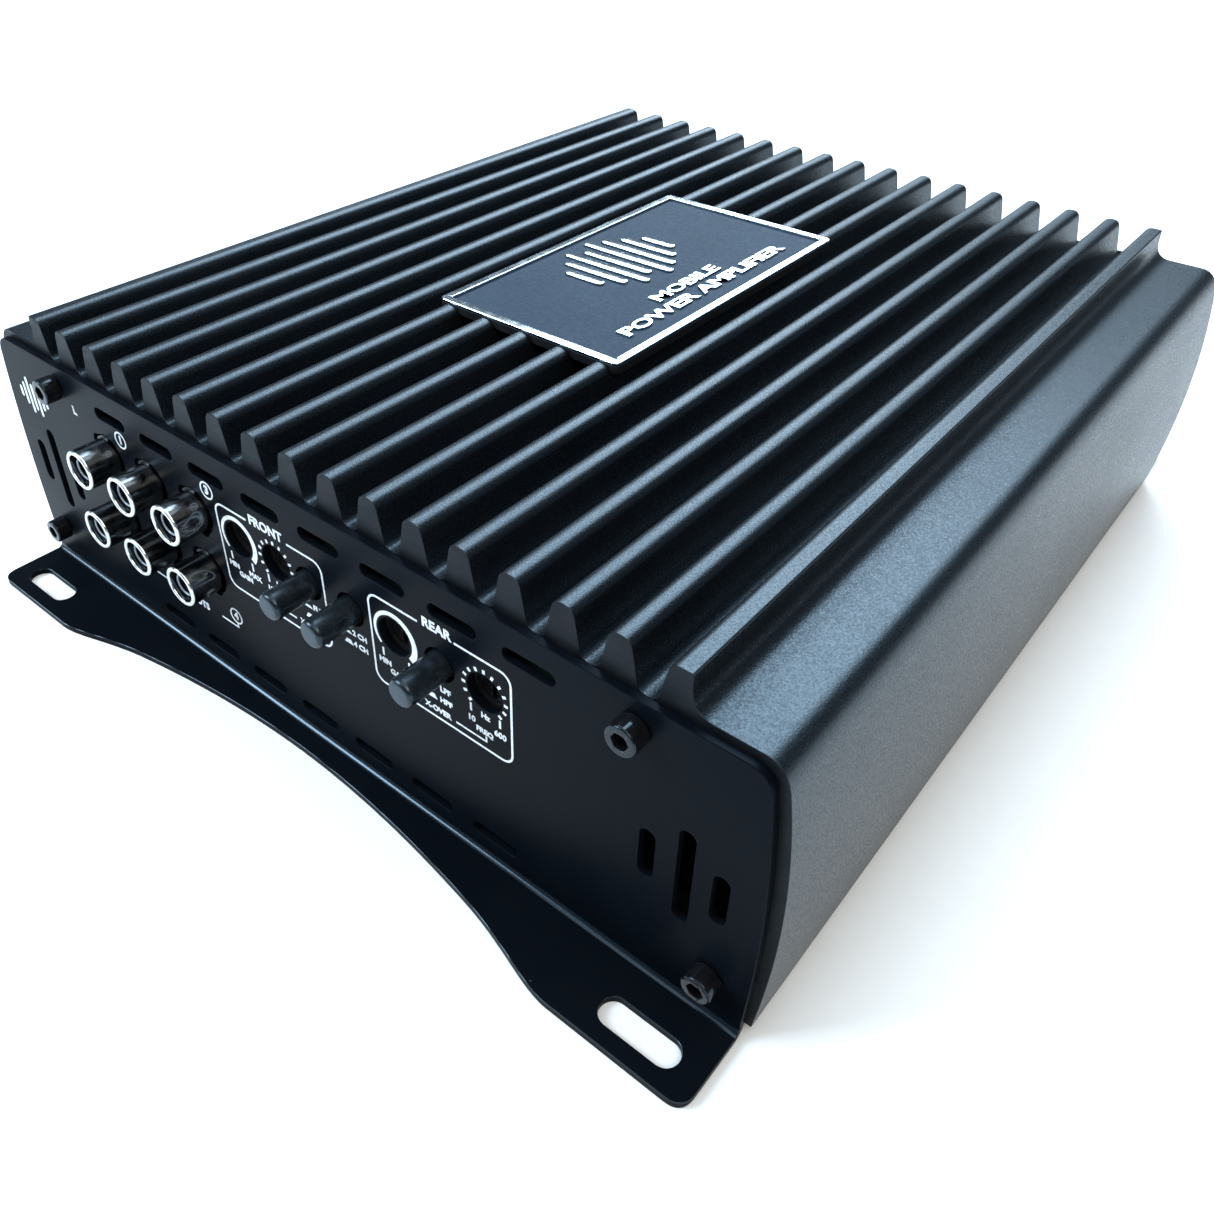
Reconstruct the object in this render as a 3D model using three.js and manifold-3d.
// A four-channel car amplifier: a finned aluminium extrusion closed by two bent
// steel end panels and a steel floor, with its circuit board, controls and
// connectors. Millimetres, +Z up, +Y from the control panel to the power panel,
// origin on the mounting surface under the middle of the case.

import * as THREE from 'three';
import { mergeVertices } from 'three/addons/utils/BufferGeometryUtils.js';
import Module from 'manifold-3d';

const wasm = await Module();
wasm.setup();

// ---------------------------------------------------------------- dimensions

const CLEARANCE = 0.3;

// finned case
const CASE_LENGTH = 194.6;
const CASE_BOTTOM = 2;
const FIN_COUNT = 17;
const FIN_PITCH = 9.5;
const FIN_TOP = 63.6;
const FIN_FLOOR = 55.8;
const FIN_TIP_HALF = 1.75;
const FIN_ROOT_HALF = 3.25;
const FIN_TIP_ROUND = 1.6;
const FIN_ROOT_ROUND = 1.2;
const OUTER_TIP_ROUND = 0.4;
const FLANK = { kneeOut: 0.1, kneeZ: 61, bowOut: 0.25 };
const ROOF_UNDERSIDE = 52.4;
const SHOULDER = { innerX: 81.6, outerX: 88.5, cornerX: 92.2, z: 57.2 };
const SIDE_TOP = { x: 93, z: 52 };
const SIDE_BOW = { x: 97, z: 30 };
const SIDE_FOOT_X = 93.8;
const WALL_INNER_X = 91;
const LEDGE = { x: 82.4, bottom: 3.7, top: 14.8, chamfer: 2 };
const RAIL = { x: 86.6, z: 50, lip: 43.2, lipRise: 1.5, chamfer: 2 };
const SLOT_INNER_X = 90.3;

// circuit board
const BOARD = { bottom: 46.4, thick: 1.6, halfX: 89.9, halfY: 96.9 };

// end panels
const PANEL_GAP = 0.25;
const PANEL_THICK = 1.4;
const PANEL_CUT_OVERRUN = 5;
const PANEL_BEND_INNER = 1.2;
const PANEL_TOP = 56.1;
const PANEL_FOOT_X = 92.8;
const PANEL_BOW = { x: 94.3, z: 30 };
const PANEL_SIDE_TOP = { x: 91.4, z: 52 };
const PANEL_CORNER_X = 87;
const FOOT_REACH = 16.3;
const FOOT_EAR_INNER_X = 68;
const FOOT_WAIST_REACH = 6.4;
const FOOT_CORNER = 3.2;
const FOOT_SWEEP = { leaveX: 63, turnX: 57, turnBelow: 6.6, meetX: 47, meetBelow: 4.6, flatX: 22 };
const EAR_SLOT = { x: 81.3, reach: 10.75, length: 14.3, width: 4.95 };

// ventilation slots in both end panels
const TOP_VENTS = { count: 8, pitch: 14.93, length: 9.9, width: 2.5, z: 50.6 };
const BOTTOM_VENTS = { count: 7, pitch: 14.78, length: 9.9, width: 2.5, z: 6.5 };
const SIDE_VENTS = [
  { x: 74.1, length: 10, width: 2.7 },
  { x: 80.5, length: 19.4, width: 2.7 },
  { x: 86.4, length: 10, width: 2.7 },
];
const SIDE_VENT_Z = 27.8;

// socket-head panel screws
const PANEL_SCREW = {
  headRadius: 2.6, headHeight: 3.2, hexAcross: 2.6, hexDepth: 1.8, shank: 1.4, length: 10,
};
const PANEL_SCREW_AT = [
  { x: 70.8, z: 51.1 },
  { x: 86.4, z: 10.2 },
];
const TAP_RADIUS = 1.75;
const TAP_DEPTH = 13;
const SCREW_BOSS = 2.7;

// floor plate and its screws
const FLOOR_PLATE = { bottom: 2.2, thick: 1.2, halfX: 90.6, halfY: 97 };
const FLOOR_SCREW = {
  x: 86.4, y: 70, headRadius: 2.7, headHeight: 1.3, shank: 1.4, length: 8, crossHalf: 0.4, crossDepth: 0.7,
};

// badge
const BADGE = { width: 44.8, length: 80.2, corner: 1.2, bottom: 61.9, top: 64.2, border: 1.8, recess: 0.6 };
const BADGE_POCKET = { width: 48, length: 80.8, floor: 61.6 };

// phono sockets, three columns in two rows
const JACK_COLUMNS = [-56.1, -42.2, -28.2];
const JACK_ROWS = [40.8, 26.8];
const JACK = {
  tip: 105.7, sleeve: 3.95, rim: 4.25, bore: 3.15, core: 2.85, coreTip: 104.2,
  pin: 1.65, pinDepth: 8, pocket: 4.3, pocketFloor: 92.5,
};
const JACK_HOLE = { radius: 4.9, notch: 1.5, notchReach: 4 };
const JACK_NOTCH_ANGLES = [138, -70];
const JACK_BLOCK = { left: -64, right: -21.4, bottom: 19.6, top: 46.1, front: 97.25, back: 84 };

// push switches
const CONTROL_Z = 39.9;
const SWITCH_COLUMNS = [3.1, 13.6, 34];
const BUTTON = { radius: 2.6, tip: 107.6, back: 95.6, stem: 1.4, stemEnd: 92.6, dome: 1.1 };
const SWITCH = { halfWidth: 3.8, bottom: 34.8, front: 97.2, back: 82.5, bore: 3.0, boreEnd: 88.6 };
const BUTTON_HOLE = 3.2;

// screwdriver controls
const POT_COLUMNS = [-15.9, -5.4, 24, 43.5];
const POT = { halfWidth: 4.2, bottom: 34.2, front: 97.2, back: 88.5, bore: 3.3, boreEnd: 90.5 };
const ROTOR = { radius: 2.95, front: 96.6, back: 90.9, slotWidth: 0.9, slotDepth: 1.2 };
const POT_HOLE = 3.6;

// power terminal block
const POWER = {
  x: 54, halfWidth: 19.5, bottom: 19, top: 36, front: 86, back: 109,
  entryCount: 3, entryPitch: 12, entryWidth: 7.4, entryBottom: 23, entryTop: 30.5, entryDepth: 14,
  screwY: 102, screwBore: 2.75,
};
const CLAMP_SCREW = { radius: 2.4, top: 35.4, bottom: 30.9, slotWidth: 0.8, slotDepth: 1.2 };

// speaker socket
const SPEAKER = {
  x: -47, halfWidth: 22, bottom: 20, top: 34, front: 84, back: 103,
  wall: 1.6, cavityDepth: 13, keyHalf: 2,
  pinCount: 4, pinPitch: 9.6, pinHalf: 0.6, pinLength: 9, pinInset: 4.6,
};

// fuses
const FUSE_HOLDER = { x: 8, halfWidth: 16, bottom: 19.5, top: 31.5, front: 80, back: 99.6 };
const FUSE = {
  count: 2, pitch: 16, skirtHalf: 6.2, skirt: 6, bodyHalf: 5.2, body: 11, thick: 5, step: 0.7,
  bladeOffset: 4, bladeHalf: 1.2, bladeThick: 0.65, bladeLength: 7,
};
const FUSE_SEAT = 96.4;

// status lamp
const LAMP = { x: 31, z: 42, radius: 1.45, tip: 100.4, back: 92 };

// parts on the circuit board
const TOROID = { x: 44, y: 34, outer: 21, inner: 8.5, height: 17 };
const CHOKE = { x: 62, y: 72, outer: 10, inner: 4, height: 12 };
const CAPACITOR = { x: 12, firstY: 66, pitch: 21, radius: 8.9, height: 30 };
const CAPACITOR_COUNT = 3;
const TRANSISTOR = {
  x: 88.2, thick: 4.4, width: 10.2, tall: 15.5, top: 40, tab: 1.3, tabHang: 5,
  lead: 0.8, leadPitch: 2.54, leadX: 85,
};
const TRANSISTOR_Y = [-36, 36];
const CLIP = { thick: 0.9, width: 10, length: 96, x: 84.7 };

// ------------------------------------------------------------------ finishes

function finish(color, roughness, metalness) {
  return new THREE.MeshStandardMaterial({ color, roughness, metalness });
}

const FINISH = {
  powderCoat: () => finish(0x16181b, 0.55, 0.1),
  satinBlack: () => finish(0x1b1f25, 0.42, 0.1),
  plainSteel: () => finish(0x3a3c3e, 0.45, 0.8),
  blackPlastic: () => finish(0x101012, 0.5, 0),
  buttonBlack: () => finish(0x17181a, 0.35, 0),
  nickel: () => finish(0xd8dadd, 0.14, 1),
  badge: () => finish(0x273344, 0.4, 0.4),
  board: () => finish(0x14503a, 0.6, 0),
  blackScrew: () => finish(0x141416, 0.35, 0.7),
  brass: () => finish(0xb28a3a, 0.3, 1),
  copper: () => finish(0x9a5a2c, 0.4, 0.6),
  capacitorSleeve: () => finish(0x1d2230, 0.4, 0),
  fuseGreen: () => finish(0x2f8f4e, 0.3, 0),
  lamp: () => finish(0xd9e6ff, 0.15, 0),
};

// ------------------------------------------------------------ solid geometry

// A manifold solid from any closed three.js geometry.
function solid(geometry) {
  const bare = geometry.index ? geometry.toNonIndexed() : geometry.clone();
  bare.deleteAttribute('normal');
  bare.deleteAttribute('uv');
  const merged = mergeVertices(bare, 1e-4);
  return new wasm.Manifold(new wasm.Mesh({
    numProp: 3,
    vertProperties: new Float32Array(merged.attributes.position.array),
    triVerts: new Uint32Array(merged.index.array),
  }));
}

// The three.js geometry of a manifold solid.
function geometryOf(body) {
  const mesh = body.getMesh();
  const geometry = new THREE.BufferGeometry();
  geometry.setAttribute('position', new THREE.BufferAttribute(mesh.vertProperties, 3));
  geometry.setIndex(new THREE.BufferAttribute(mesh.triVerts, 1));
  geometry.computeVertexNormals();
  return geometry;
}

function join(bodies) {
  return bodies.reduce((whole, body) => whole.add(body));
}

function cut(body, tools) {
  return body.subtract(join(tools));
}

// Prisms: a flat shape swept between two heights along Z, or between two
// stations along Y (shape in X and Z) or X (shape in Y and Z).
function prismZ(shape, z0, z1, curveSegments = 8) {
  const geometry = new THREE.ExtrudeGeometry(shape, { depth: z1 - z0, bevelEnabled: false, curveSegments });
  return solid(geometry.translate(0, 0, z0));
}

function prismY(shape, y0, y1, curveSegments = 8) {
  const geometry = new THREE.ExtrudeGeometry(shape, { depth: y1 - y0, bevelEnabled: false, curveSegments });
  return solid(geometry.rotateX(Math.PI / 2).translate(0, y1, 0));
}

function prismX(shape, x0, x1, curveSegments = 8) {
  const geometry = new THREE.ExtrudeGeometry(shape, { depth: x1 - x0, bevelEnabled: false, curveSegments });
  return solid(geometry.rotateX(Math.PI / 2).rotateZ(Math.PI / 2).translate(x0, 0, 0));
}

function box(x0, x1, y0, y1, z0, z1) {
  const geometry = new THREE.BoxGeometry(x1 - x0, y1 - y0, z1 - z0);
  return solid(geometry.translate((x0 + x1) / 2, (y0 + y1) / 2, (z0 + z1) / 2));
}

function circle(x, y, radius) {
  const shape = new THREE.Shape();
  shape.absarc(x, y, radius, 0, 2 * Math.PI, false);
  return shape;
}

function rodY(x, z, radius, y0, y1, curveSegments = 12) {
  return prismY(circle(x, z, radius), y0, y1, curveSegments);
}

function rodZ(x, y, radius, z0, z1, curveSegments = 12) {
  return prismZ(circle(x, y, radius), z0, z1, curveSegments);
}

// A regular hexagon of the given distance across its flats.
function hexagon(x, y, acrossFlats) {
  const corners = [];
  for (let side = 0; side < 6; side += 1) {
    const angle = (side + 0.5) * Math.PI / 3;
    const reach = acrossFlats / Math.sqrt(3);
    corners.push(new THREE.Vector2(x + reach * Math.cos(angle), y + reach * Math.sin(angle)));
  }
  return new THREE.Shape(corners);
}

// A slot with round ends, centred on (x, y) and long in the first direction.
function slotAcross(x, y, length, width) {
  const radius = width / 2;
  const reach = length / 2 - radius;
  const shape = new THREE.Shape();
  shape.absarc(x + reach, y, radius, -Math.PI / 2, Math.PI / 2, false);
  shape.absarc(x - reach, y, radius, Math.PI / 2, 3 * Math.PI / 2, false);
  return shape;
}

function slotUpright(x, y, length, width) {
  const radius = width / 2;
  const reach = length / 2 - radius;
  const shape = new THREE.Shape();
  shape.absarc(x, y + reach, radius, 0, Math.PI, false);
  shape.absarc(x, y - reach, radius, Math.PI, 2 * Math.PI, false);
  return shape;
}

function roundedRectangle(x0, x1, y0, y1, radius) {
  const shape = new THREE.Shape();
  shape.absarc(x1 - radius, y0 + radius, radius, -Math.PI / 2, 0, false);
  shape.absarc(x1 - radius, y1 - radius, radius, 0, Math.PI / 2, false);
  shape.absarc(x0 + radius, y1 - radius, radius, Math.PI / 2, Math.PI, false);
  shape.absarc(x0 + radius, y0 + radius, radius, Math.PI, 3 * Math.PI / 2, false);
  return shape;
}

// A closed shape from its right half, drawn from the top centre line down to
// the bottom centre line.
function mirroredShape(rightHalf, curveSegments) {
  const right = rightHalf.getPoints(curveSegments);
  const left = right
    .filter((point) => point.x > 1e-6)
    .map((point) => new THREE.Vector2(-point.x, point.y))
    .reverse();
  return new THREE.Shape([...right, ...left]);
}

// A solid turned about an axis along Y. The profile lists (radius, y) with y
// falling along its outside.
function turnedAlongY(profile, x, z, segments = 24) {
  const points = profile.map(([radius, y]) => new THREE.Vector2(radius, y)).reverse();
  return solid(new THREE.LatheGeometry(points, segments).translate(x, 0, z));
}

// The point a fraction of the way between two others.
function between(from, to, distance) {
  const step = to.clone().sub(from);
  return from.clone().add(step.setLength(distance));
}

// A line to a corner rounded off by the given distance along both sides.
function roundedCorner(path, corner, next, distance) {
  const before = between(corner, path.currentPoint, distance);
  const after = between(corner, next, distance);
  path.lineTo(before.x, before.y);
  path.quadraticCurveTo(corner.x, corner.y, after.x, after.y);
}

// ------------------------------------------------------------- finned case

// The right half of the case's section, from the middle fin's tip outward,
// down the bowed side and back under the roof.
function caseHalfSection() {
  const path = new THREE.Path();
  const lastFin = (FIN_COUNT - 1) / 2;
  path.moveTo(0, FIN_TOP);
  for (let fin = 0; fin <= lastFin; fin += 1) {
    const centre = fin * FIN_PITCH;
    const tipRight = new THREE.Vector2(centre + FIN_TIP_HALF, FIN_TOP);
    const rootRight = new THREE.Vector2(centre + FIN_ROOT_HALF, FIN_FLOOR);
    if (fin > 0) {
      const rootLeft = new THREE.Vector2(centre - FIN_ROOT_HALF, FIN_FLOOR);
      const tipLeft = new THREE.Vector2(centre - FIN_TIP_HALF, FIN_TOP);
      roundedCorner(path, rootLeft, tipLeft, FIN_ROOT_ROUND);
      roundedCorner(path, tipLeft, tipRight, FIN_TIP_ROUND);
    }
    if (fin < lastFin) {
      roundedCorner(path, tipRight, rootRight, FIN_TIP_ROUND);
      roundedCorner(path, rootRight, new THREE.Vector2(centre + FIN_PITCH, FIN_FLOOR), FIN_ROOT_ROUND);
    }
  }
  const lastFlank = lastFin * FIN_PITCH + FIN_TIP_HALF;
  const knee = new THREE.Vector2(lastFlank + FLANK.kneeOut, FLANK.kneeZ);
  roundedCorner(path, new THREE.Vector2(lastFlank, FIN_TOP), knee, OUTER_TIP_ROUND);
  path.lineTo(knee.x, knee.y);
  path.quadraticCurveTo(lastFlank + FLANK.bowOut, SHOULDER.z, SHOULDER.innerX, SHOULDER.z);
  path.lineTo(SHOULDER.outerX, SHOULDER.z);
  path.quadraticCurveTo(SHOULDER.cornerX, SHOULDER.z, SIDE_TOP.x, SIDE_TOP.z);
  path.quadraticCurveTo(SIDE_BOW.x, SIDE_BOW.z, SIDE_FOOT_X, CASE_BOTTOM);
  path.lineTo(WALL_INNER_X, CASE_BOTTOM);
  path.lineTo(WALL_INNER_X, LEDGE.bottom);
  path.lineTo(LEDGE.x, LEDGE.bottom);
  path.lineTo(LEDGE.x, LEDGE.top - LEDGE.chamfer);
  path.lineTo(LEDGE.x + LEDGE.chamfer, LEDGE.top);
  path.lineTo(WALL_INNER_X, LEDGE.top);
  path.lineTo(WALL_INNER_X, RAIL.lip);
  path.lineTo(RAIL.x, RAIL.lip + RAIL.lipRise);
  path.lineTo(RAIL.x, BOARD.bottom - CLEARANCE);
  path.lineTo(SLOT_INNER_X, BOARD.bottom - CLEARANCE);
  path.lineTo(SLOT_INNER_X, BOARD.bottom + BOARD.thick + CLEARANCE);
  path.lineTo(RAIL.x, BOARD.bottom + BOARD.thick + CLEARANCE);
  path.lineTo(RAIL.x, RAIL.z);
  path.lineTo(RAIL.x - RAIL.chamfer, ROOF_UNDERSIDE);
  const boss = PANEL_SCREW_AT[0];
  path.lineTo(boss.x + SCREW_BOSS, ROOF_UNDERSIDE);
  path.lineTo(boss.x + SCREW_BOSS, boss.z);
  path.absarc(boss.x, boss.z, SCREW_BOSS, 0, Math.PI, true);
  path.lineTo(boss.x - SCREW_BOSS, ROOF_UNDERSIDE);
  path.lineTo(0, ROOF_UNDERSIDE);
  return path;
}

function makeCase() {
  const half = CASE_LENGTH / 2;
  const extrusion = prismY(mirroredShape(caseHalfSection(), 3), -half, half);
  const tools = [];
  for (const side of [-1, 1]) {
    for (const end of [-1, 1]) {
      for (const at of PANEL_SCREW_AT) {
        const inner = end * (half - TAP_DEPTH);
        const outer = end * (half + 1);
        tools.push(rodY(side * at.x, at.z, TAP_RADIUS, Math.min(inner, outer), Math.max(inner, outer), 4));
      }
      tools.push(rodZ(side * FLOOR_SCREW.x, end * FLOOR_SCREW.y, TAP_RADIUS, 1, LEDGE.bottom + 8, 4));
    }
  }
  const pocket = BADGE_POCKET;
  tools.push(box(
    -pocket.width / 2, pocket.width / 2,
    -pocket.length / 2, pocket.length / 2,
    pocket.floor, FIN_TOP + 1,
  ));
  return cut(extrusion, tools);
}

// --------------------------------------------------------------- end panels

// Outline of the upright plate, with bowed sides and rounded top corners.
function panelOutline() {
  const path = new THREE.Path();
  path.moveTo(0, PANEL_TOP);
  path.lineTo(PANEL_CORNER_X, PANEL_TOP);
  path.quadraticCurveTo(PANEL_SIDE_TOP.x - 0.3, PANEL_TOP, PANEL_SIDE_TOP.x, PANEL_SIDE_TOP.z);
  path.quadraticCurveTo(PANEL_BOW.x, PANEL_BOW.z, PANEL_FOOT_X, 4);
  path.lineTo(PANEL_FOOT_X, -1);
  path.lineTo(0, -1);
  return mirroredShape(path, 4);
}

// Plan of the foot: an ear at each end and a waisted edge between them.
function footOutline(panelFace) {
  const edge = -panelFace - FOOT_REACH + PANEL_GAP + PANEL_THICK;
  const waist = edge + FOOT_REACH - FOOT_WAIST_REACH;
  const path = new THREE.Path();
  path.moveTo(0, -90);
  path.lineTo(PANEL_FOOT_X + 2, -90);
  path.lineTo(PANEL_FOOT_X + 2, -panelFace + 1);
  path.lineTo(PANEL_FOOT_X, -panelFace + 1);
  path.lineTo(PANEL_FOOT_X, edge + FOOT_CORNER);
  path.quadraticCurveTo(PANEL_FOOT_X, edge, PANEL_FOOT_X - FOOT_CORNER, edge);
  path.lineTo(FOOT_EAR_INNER_X, edge);
  const { leaveX, turnX, turnBelow, meetX, meetBelow, flatX } = FOOT_SWEEP;
  path.bezierCurveTo(leaveX, edge, turnX, waist - turnBelow, meetX, waist - meetBelow);
  path.quadraticCurveTo(flatX, waist, 0, waist);
  return mirroredShape(path, 7);
}

// The bent section in Y and Z: plate, bend and foot at one thickness. The foot
// points to -Y.
function bentSection(face, back) {
  const foot = face - 40;
  const innerBend = PANEL_BEND_INNER;
  const outerBend = innerBend + PANEL_THICK;
  const shape = new THREE.Shape();
  shape.moveTo(back, PANEL_TOP + 1);
  shape.lineTo(face, PANEL_TOP + 1);
  shape.lineTo(face, PANEL_THICK + innerBend);
  shape.absarc(face - innerBend, PANEL_THICK + innerBend, innerBend, 0, -Math.PI / 2, true);
  shape.lineTo(foot, PANEL_THICK);
  shape.lineTo(foot, 0);
  shape.lineTo(back - outerBend, 0);
  shape.absarc(back - outerBend, outerBend, outerBend, -Math.PI / 2, 0, false);
  return shape;
}

const PANEL_BACK_Y = CASE_LENGTH / 2 + PANEL_GAP;
const PANEL_FACE_Y = PANEL_BACK_Y + PANEL_THICK;

// A panel at the -Y end, before its own openings are cut. The rear panel is the
// same blank turned half a turn about Z.
function panelBlank() {
  const bent = prismX(bentSection(-PANEL_FACE_Y, -PANEL_BACK_Y), -100, 100, 3);
  const plate = prismY(panelOutline(), -130, -90);
  const foot = prismZ(footOutline(PANEL_FACE_Y), -1, 70);
  return bent.intersect(plate).intersect(foot);
}

// A cutting tool of the given shape that runs right through the upright plate.
function throughPlate(shape, curveSegments) {
  return prismY(shape, -PANEL_FACE_Y - PANEL_CUT_OVERRUN, -PANEL_BACK_Y + PANEL_CUT_OVERRUN, curveSegments);
}

function rowOfSlots(row) {
  const tools = [];
  for (let index = 0; index < row.count; index += 1) {
    const x = (index - (row.count - 1) / 2) * row.pitch;
    tools.push(throughPlate(slotAcross(x, row.z, row.length, row.width), 3));
  }
  return tools;
}

function panelStandardCuts() {
  const tools = [...rowOfSlots(TOP_VENTS), ...rowOfSlots(BOTTOM_VENTS)];
  const earY = -(PANEL_FACE_Y + EAR_SLOT.reach - PANEL_GAP - PANEL_THICK);
  for (const side of [-1, 1]) {
    for (const vent of SIDE_VENTS) {
      tools.push(throughPlate(slotUpright(side * vent.x, SIDE_VENT_Z, vent.length, vent.width), 3));
    }
    for (const at of PANEL_SCREW_AT) {
      tools.push(throughPlate(circle(side * at.x, at.z, TAP_RADIUS), 4));
    }
    const earSlot = slotAcross(side * EAR_SLOT.x, earY, EAR_SLOT.length, EAR_SLOT.width);
    tools.push(prismZ(earSlot, -1, PANEL_THICK + 1, 4));
  }
  return tools;
}

function makeFrontPanel() {
  const tools = panelStandardCuts();
  forEachJack((x, z) => {
    tools.push(throughPlate(circle(x, z, JACK_HOLE.radius), 8));
    for (const place of notchPlaces(x, z)) {
      tools.push(throughPlate(circle(place.x, place.z, JACK_HOLE.notch), 4));
    }
  });
  for (const x of SWITCH_COLUMNS) {
    tools.push(throughPlate(circle(x, CONTROL_Z, BUTTON_HOLE), 7));
  }
  for (const x of POT_COLUMNS) {
    tools.push(throughPlate(circle(x, CONTROL_Z, POT_HOLE), 8));
  }
  return cut(panelBlank(), tools);
}

function makeRearPanel() {
  const blank = cut(panelBlank(), panelStandardCuts()).rotate([0, 0, 180]);
  const from = PANEL_BACK_Y - PANEL_CUT_OVERRUN;
  const to = PANEL_FACE_Y + PANEL_CUT_OVERRUN;
  const windows = [POWER, SPEAKER, FUSE_HOLDER].map((part) => box(
    part.x - part.halfWidth - CLEARANCE, part.x + part.halfWidth + CLEARANCE,
    from, to, part.bottom - CLEARANCE, part.top + CLEARANCE,
  ));
  return cut(blank, [...windows, rodY(LAMP.x, LAMP.z, LAMP.radius + CLEARANCE, from, to, 8)]);
}

// ------------------------------------------------------------------- screws

// A socket-head screw with its head outside the front panel.
function makePanelScrew(x, z) {
  const seat = PANEL_FACE_Y + CLEARANCE;
  const top = seat + PANEL_SCREW.headHeight;
  const end = seat - PANEL_SCREW.length;
  const { headRadius, shank } = PANEL_SCREW;
  const profile = [
    [0, -end], [shank, -end], [shank, -seat], [headRadius, -seat],
    [headRadius, -top + 0.4], [headRadius - 0.4, -top], [0, -top],
  ];
  const body = turnedAlongY(profile, x, z, 12);
  const socket = hexagon(x, z, PANEL_SCREW.hexAcross);
  return cut(body, [prismY(socket, -top - 1, -top + PANEL_SCREW.hexDepth)]);
}

function makeFloorScrew(x, y) {
  const seat = FLOOR_PLATE.bottom - CLEARANCE;
  const head = rodZ(x, y, FLOOR_SCREW.headRadius, seat - FLOOR_SCREW.headHeight, seat, 6);
  const shank = rodZ(x, y, FLOOR_SCREW.shank, seat - 0.5, seat + FLOOR_SCREW.length, 4);
  const across = FLOOR_SCREW.headRadius * 0.6;
  const bottom = seat - FLOOR_SCREW.headHeight;
  const { crossHalf, crossDepth } = FLOOR_SCREW;
  const cross = [
    box(x - across, x + across, y - crossHalf, y + crossHalf, bottom - 1, bottom + crossDepth),
    box(x - crossHalf, x + crossHalf, y - across, y + across, bottom - 1, bottom + crossDepth),
  ];
  return cut(head.add(shank), cross);
}

// -------------------------------------------------------------- floor plate

function makeFloorPlate() {
  const { halfX, halfY, bottom, thick } = FLOOR_PLATE;
  const plate = prismZ(roundedRectangle(-halfX, halfX, -halfY, halfY, 1.5), bottom, bottom + thick, 2);
  const tools = [];
  for (const x of [-FLOOR_SCREW.x, FLOOR_SCREW.x]) {
    for (const y of [-FLOOR_SCREW.y, FLOOR_SCREW.y]) {
      tools.push(rodZ(x, y, TAP_RADIUS, 0, 5, 4));
    }
  }
  return cut(plate, tools);
}

function makeBoard() {
  const { halfX, halfY, bottom, thick } = BOARD;
  return prismZ(roundedRectangle(-halfX, halfX, -halfY, halfY, 1), bottom, bottom + thick, 3);
}

// A cast plate with a raised border round a sunk field.
function makeBadge() {
  const halfX = BADGE.width / 2;
  const halfY = BADGE.length / 2;
  const inset = BADGE.border;
  const outline = roundedRectangle(-halfX, halfX, -halfY, halfY, BADGE.corner);
  const fieldX = halfX - inset;
  const fieldY = halfY - inset;
  const field = roundedRectangle(-fieldX, fieldX, -fieldY, fieldY, BADGE.corner / 2);
  const plate = prismZ(outline, BADGE.bottom, BADGE.top, 4);
  return cut(plate, [prismZ(field, BADGE.top - BADGE.recess, BADGE.top + 1, 4)]);
}

// ------------------------------------------------------------ phono sockets

function forEachJack(visit) {
  let number = 1;
  for (const z of JACK_ROWS) {
    for (const x of JACK_COLUMNS) {
      visit(x, z, number);
      number += 1;
    }
  }
}

// The two notches that key each socket's hole in the panel.
function notchPlaces(x, z) {
  return JACK_NOTCH_ANGLES.map((degrees) => {
    const angle = THREE.MathUtils.degToRad(degrees);
    return { x: x + JACK_HOLE.notchReach * Math.cos(angle), z: z + JACK_HOLE.notchReach * Math.sin(angle) };
  });
}

// The moulded block behind the panel, with a core standing in each pocket.
function makeJackBlock() {
  const { left, right, bottom, top, front, back } = JACK_BLOCK;
  const pockets = [];
  const cores = [];
  const pinHoles = [];
  forEachJack((x, z) => {
    pockets.push(rodY(x, z, JACK.pocket, -front - 1, -JACK.pocketFloor, 8));
    cores.push(rodY(x, z, JACK.core, -JACK.coreTip, -JACK.pocketFloor + 1, 8));
    pinHoles.push(rodY(x, z, JACK.pin, -JACK.coreTip - 1, -JACK.coreTip + JACK.pinDepth, 6));
  });
  const block = cut(box(left, right, -front, -back, bottom, top), pockets);
  return cut(join([block, ...cores]), pinHoles);
}

// The plated outer contact: a tube with a rolled bead at its mouth.
function makeJackSleeve(x, z) {
  const { sleeve, rim, bore, tip } = JACK;
  const inner = JACK.pocketFloor + CLEARANCE;
  const profile = [
    [bore, -inner], [sleeve, -inner], [sleeve, -tip + 1.6], [rim, -tip + 1.1],
    [rim, -tip + 0.5], [rim - 0.3, -tip], [bore + 0.25, -tip], [bore, -tip + 0.4], [bore, -inner],
  ];
  return turnedAlongY(profile, x, z, 14);
}

// ----------------------------------------------------------- front controls

function makeSwitchBody(x) {
  const { halfWidth, bottom, front, back, bore, boreEnd } = SWITCH;
  const body = box(x - halfWidth, x + halfWidth, -front, -back, bottom, JACK_BLOCK.top);
  return cut(body, [rodY(x, CONTROL_Z, bore, -front - 1, -boreEnd, 8)]);
}

function makeButton(x) {
  const { radius, tip, back, stem, stemEnd, dome } = BUTTON;
  const profile = [
    [0, -stemEnd], [stem, -stemEnd], [stem, -back], [radius, -back], [radius, -tip + dome],
    [radius * 0.93, -tip + dome * 0.5], [radius * 0.75, -tip + dome * 0.15], [radius * 0.4, -tip], [0, -tip],
  ];
  return turnedAlongY(profile, x, CONTROL_Z, 14);
}

function makePotBody(x) {
  const { halfWidth, bottom, front, back, bore, boreEnd } = POT;
  const body = box(x - halfWidth, x + halfWidth, -front, -back, bottom, JACK_BLOCK.top);
  return cut(body, [rodY(x, CONTROL_Z, bore, -front - 1, -boreEnd, 8)]);
}

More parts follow.
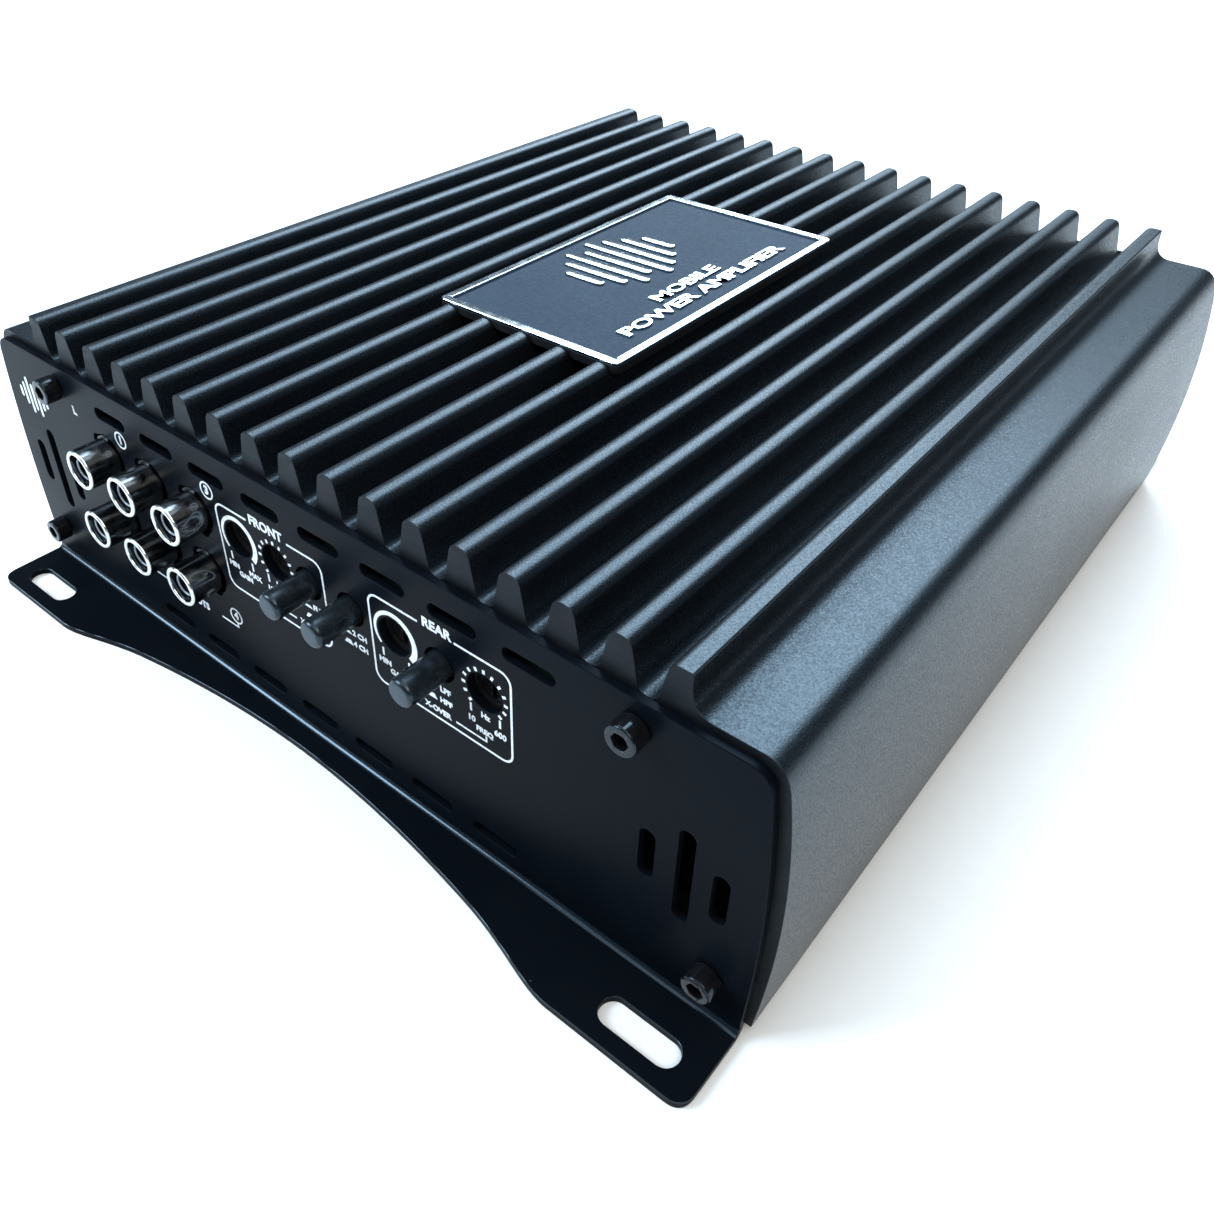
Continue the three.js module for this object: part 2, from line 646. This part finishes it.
function makeRotor(x) {
  const { radius, front, back, slotWidth, slotDepth } = ROTOR;
  const disc = rodY(x, CONTROL_Z, radius, -front, -back, 8);
  const slot = box(
    x - slotWidth / 2, x + slotWidth / 2, -front - 1, -front + slotDepth,
    CONTROL_Z - radius - 1, CONTROL_Z + radius + 1,
  );
  return cut(disc, [slot]);
}

// ---------------------------------------------------------- rear connectors

function powerEntryX(index) {
  return POWER.x + (index - (POWER.entryCount - 1) / 2) * POWER.entryPitch;
}

function makePowerTerminal() {
  const { x, halfWidth, bottom, top, front, back } = POWER;
  const tools = [];
  for (let index = 0; index < POWER.entryCount; index += 1) {
    const entry = powerEntryX(index);
    const halfEntry = POWER.entryWidth / 2;
    tools.push(box(
      entry - halfEntry, entry + halfEntry, back - POWER.entryDepth, back + 1,
      POWER.entryBottom, POWER.entryTop,
    ));
    tools.push(rodZ(entry, POWER.screwY, POWER.screwBore, POWER.entryTop - 1, top + 1, 8));
  }
  return cut(box(x - halfWidth, x + halfWidth, front, back, bottom, top), tools);
}

function makeClampScrew(x) {
  const { radius, top, bottom, slotWidth, slotDepth } = CLAMP_SCREW;
  const body = rodZ(x, POWER.screwY, radius, bottom, top, 8);
  const slot = box(
    x - radius - 1, x + radius + 1, POWER.screwY - slotWidth / 2, POWER.screwY + slotWidth / 2,
    top - slotDepth, top + 1,
  );
  return cut(body, [slot]);
}

// A keyed shell with a row of square contact pins.
function makeSpeakerSocket() {
  const { x, halfWidth, bottom, top, front, back, wall, cavityDepth } = SPEAKER;
  const shell = box(x - halfWidth, x + halfWidth, front, back, bottom, top);
  const cavity = box(
    x - halfWidth + wall, x + halfWidth - wall, back - cavityDepth, back + 1, bottom + wall, top - wall,
  );
  const key = box(
    x - SPEAKER.keyHalf, x + SPEAKER.keyHalf, back - cavityDepth, back + 1, top - wall - 0.1, top + 1,
  );
  const pins = [];
  for (let index = 0; index < SPEAKER.pinCount; index += 1) {
    const pinX = x + (index - (SPEAKER.pinCount - 1) / 2) * SPEAKER.pinPitch;
    for (const pinZ of [bottom + SPEAKER.pinInset, top - SPEAKER.pinInset]) {
      pins.push(box(
        pinX - SPEAKER.pinHalf, pinX + SPEAKER.pinHalf,
        back - cavityDepth - 1, back - cavityDepth + SPEAKER.pinLength,
        pinZ - SPEAKER.pinHalf, pinZ + SPEAKER.pinHalf,
      ));
    }
  }
  return join([cut(shell, [cavity, key]), ...pins]);
}

function fuseX(index) {
  return FUSE_HOLDER.x + (index - (FUSE.count - 1) / 2) * FUSE.pitch;
}

const FUSE_MIDDLE_Z = (FUSE_HOLDER.bottom + FUSE_HOLDER.top) / 2;

// Each fuse stands upright in its own pocket, with a slit for each blade.
function makeFuseHolder() {
  const { x, halfWidth, bottom, top, front, back } = FUSE_HOLDER;
  const tools = [];
  for (let index = 0; index < FUSE.count; index += 1) {
    const centre = fuseX(index);
    for (const side of [-1, 1]) {
      const bladeX = centre + side * FUSE.bladeOffset;
      const slitHalf = FUSE.bladeHalf + 0.4;
      tools.push(box(
        bladeX - slitHalf, bladeX + slitHalf, FUSE_SEAT - FUSE.bladeLength - 2, back + 1,
        FUSE_MIDDLE_Z - 1, FUSE_MIDDLE_Z + 1,
      ));
    }
    const pocketX = FUSE.skirtHalf + 0.4;
    const pocketZ = FUSE.thick / 2 + 0.5;
    tools.push(box(
      centre - pocketX, centre + pocketX, FUSE_SEAT, back + 1,
      FUSE_MIDDLE_Z - pocketZ, FUSE_MIDDLE_Z + pocketZ,
    ));
  }
  return cut(box(x - halfWidth, x + halfWidth, front, back, bottom, top), tools);
}

function makeFuse(index) {
  const centre = fuseX(index);
  const base = FUSE_SEAT + CLEARANCE;
  const half = FUSE.thick / 2;
  const pieces = [
    box(
      centre - FUSE.skirtHalf, centre + FUSE.skirtHalf, base, base + FUSE.skirt,
      FUSE_MIDDLE_Z - half, FUSE_MIDDLE_Z + half,
    ),
    box(
      centre - FUSE.bodyHalf, centre + FUSE.bodyHalf, base + 1, base + FUSE.body,
      FUSE_MIDDLE_Z - half + FUSE.step, FUSE_MIDDLE_Z + half - FUSE.step,
    ),
  ];
  for (const side of [-1, 1]) {
    const bladeX = centre + side * FUSE.bladeOffset;
    pieces.push(box(
      bladeX - FUSE.bladeHalf, bladeX + FUSE.bladeHalf, base - FUSE.bladeLength, base + 1,
      FUSE_MIDDLE_Z - FUSE.bladeThick / 2, FUSE_MIDDLE_Z + FUSE.bladeThick / 2,
    ));
  }
  return join(pieces);
}

function makeLamp() {
  const { x, z, radius, tip, back } = LAMP;
  const profile = [
    [0, tip], [radius * 0.4, tip], [radius * 0.8, tip - radius * 0.4],
    [radius, tip - radius], [radius, back], [0, back],
  ];
  return turnedAlongY(profile, x, z, 12);
}

// --------------------------------------------------- parts under the board

// A wound ring hanging under the board.
function makeWoundRing({ x, y, outer, inner, height }) {
  const top = BOARD.bottom - CLEARANCE;
  const low = top - height;
  const round = height * 0.28;
  const ring = new THREE.Shape();
  ring.moveTo(inner, low + round);
  ring.quadraticCurveTo(inner, low, inner + round, low);
  ring.lineTo(outer - round, low);
  ring.quadraticCurveTo(outer, low, outer, low + round);
  ring.lineTo(outer, top - round);
  ring.quadraticCurveTo(outer, top, outer - round, top);
  ring.lineTo(inner + round, top);
  ring.quadraticCurveTo(inner, top, inner, top - round);
  ring.closePath();
  const outline = ring.getPoints(2);
  const geometry = new THREE.LatheGeometry(outline, 16);
  return solid(geometry.rotateX(Math.PI / 2).translate(x, y, 0));
}

function makeCapacitor(index) {
  const y = CAPACITOR.firstY - index * CAPACITOR.pitch;
  const top = BOARD.bottom - CLEARANCE;
  return rodZ(CAPACITOR.x, y, CAPACITOR.radius, top - CAPACITOR.height, top, 10);
}

// A power transistor flat against the side wall, its leads cranked inward and
// up to the board.
function makeTransistor(side, y) {
  const { x, thick, width, tall, top, tab, tabHang, lead, leadPitch, leadX } = TRANSISTOR;
  const outer = x + thick / 2;
  const pieces = [
    box(x - thick / 2, outer, y - width / 2, y + width / 2, top - tall, top),
    box(outer - tab, outer, y - width / 2, y + width / 2, top - tall - tabHang, top - tall + 1),
  ];
  for (const step of [-1, 0, 1]) {
    const leadY = y + step * leadPitch;
    pieces.push(box(leadX - lead / 2, x, leadY - lead / 2, leadY + lead / 2, top - lead - 0.6, top - 0.6));
    pieces.push(box(
      leadX - lead / 2, leadX + lead / 2, leadY - lead / 2, leadY + lead / 2,
      top - lead - 0.6, BOARD.bottom - CLEARANCE,
    ));
  }
  const whole = join(pieces);
  return side < 0 ? whole.mirror([1, 0, 0]) : whole;
}

// A spring strip that presses the transistors of one side to the wall.
function makeClip(side) {
  const { thick, width, length, x } = CLIP;
  const top = TRANSISTOR.top - 4;
  const strip = box(x, x + thick, -length / 2, length / 2, top - width, top);
  return side < 0 ? strip.mirror([1, 0, 0]) : strip;
}

// ----------------------------------------------------------------- assembly

const amplifier = new THREE.Group();

function addPart(name, body, material, parent = amplifier) {
  const mesh = new THREE.Mesh(geometryOf(body), material);
  mesh.name = name;
  parent.add(mesh);
}

addPart('heatsink_case', makeCase(), FINISH.powderCoat());
addPart('front_panel', makeFrontPanel(), FINISH.satinBlack());
addPart('rear_panel', makeRearPanel(), FINISH.satinBlack());
addPart('floor_plate', makeFloorPlate(), FINISH.plainSteel());
addPart('badge_plate', makeBadge(), FINISH.badge());
addPart('circuit_board', makeBoard(), FINISH.board());

addPart('phono_block', makeJackBlock(), FINISH.blackPlastic());
forEachJack((x, z, number) => {
  addPart(`phono_sleeve_${number}`, makeJackSleeve(x, z), FINISH.nickel());
});

SWITCH_COLUMNS.forEach((x, index) => {
  addPart(`switch_body_${index + 1}`, makeSwitchBody(x), FINISH.blackPlastic());
  addPart(`push_button_${index + 1}`, makeButton(x), FINISH.buttonBlack());
});

POT_COLUMNS.forEach((x, index) => {
  addPart(`control_body_${index + 1}`, makePotBody(x), FINISH.blackPlastic());
  addPart(`control_rotor_${index + 1}`, makeRotor(x), FINISH.blackPlastic());
});

addPart('power_terminal', makePowerTerminal(), FINISH.blackPlastic());
for (let index = 0; index < POWER.entryCount; index += 1) {
  addPart(`clamp_screw_${index + 1}`, makeClampScrew(powerEntryX(index)), FINISH.brass());
}
addPart('speaker_socket', makeSpeakerSocket(), FINISH.blackPlastic());
addPart('fuse_holder', makeFuseHolder(), FINISH.blackPlastic());
for (let index = 0; index < FUSE.count; index += 1) {
  addPart(`blade_fuse_${index + 1}`, makeFuse(index), FINISH.fuseGreen());
}
addPart('status_lamp', makeLamp(), FINISH.lamp());

addPart('power_transformer', makeWoundRing(TOROID), FINISH.copper());
addPart('input_choke', makeWoundRing(CHOKE), FINISH.copper());
for (let index = 0; index < CAPACITOR_COUNT; index += 1) {
  addPart(`capacitor_${index + 1}`, makeCapacitor(index), FINISH.capacitorSleeve());
}
for (const [word, side] of [['left', -1], ['right', 1]]) {
  TRANSISTOR_Y.forEach((y, index) => {
    addPart(`transistor_${word}_${index + 1}`, makeTransistor(side, y), FINISH.blackPlastic());
  });
  addPart(`transistor_clip_${word}`, makeClip(side), FINISH.plainSteel());
}

// The front screws, and the same group turned half a turn for the rear ones.
for (const [end, turn] of [['front', 0], ['rear', Math.PI]]) {
  const screws = new THREE.Group();
  screws.rotation.z = turn;
  amplifier.add(screws);
  let number = 1;
  for (const side of [-1, 1]) {
    for (const at of PANEL_SCREW_AT) {
      addPart(`${end}_screw_${number}`, makePanelScrew(side * at.x, at.z), FINISH.blackScrew(), screws);
      number += 1;
    }
  }
}

let floorScrewNumber = 1;
for (const x of [-FLOOR_SCREW.x, FLOOR_SCREW.x]) {
  for (const y of [-FLOOR_SCREW.y, FLOOR_SCREW.y]) {
    addPart(`floor_screw_${floorScrewNumber}`, makeFloorScrew(x, y), FINISH.blackScrew());
    floorScrewNumber += 1;
  }
}

export default amplifier;
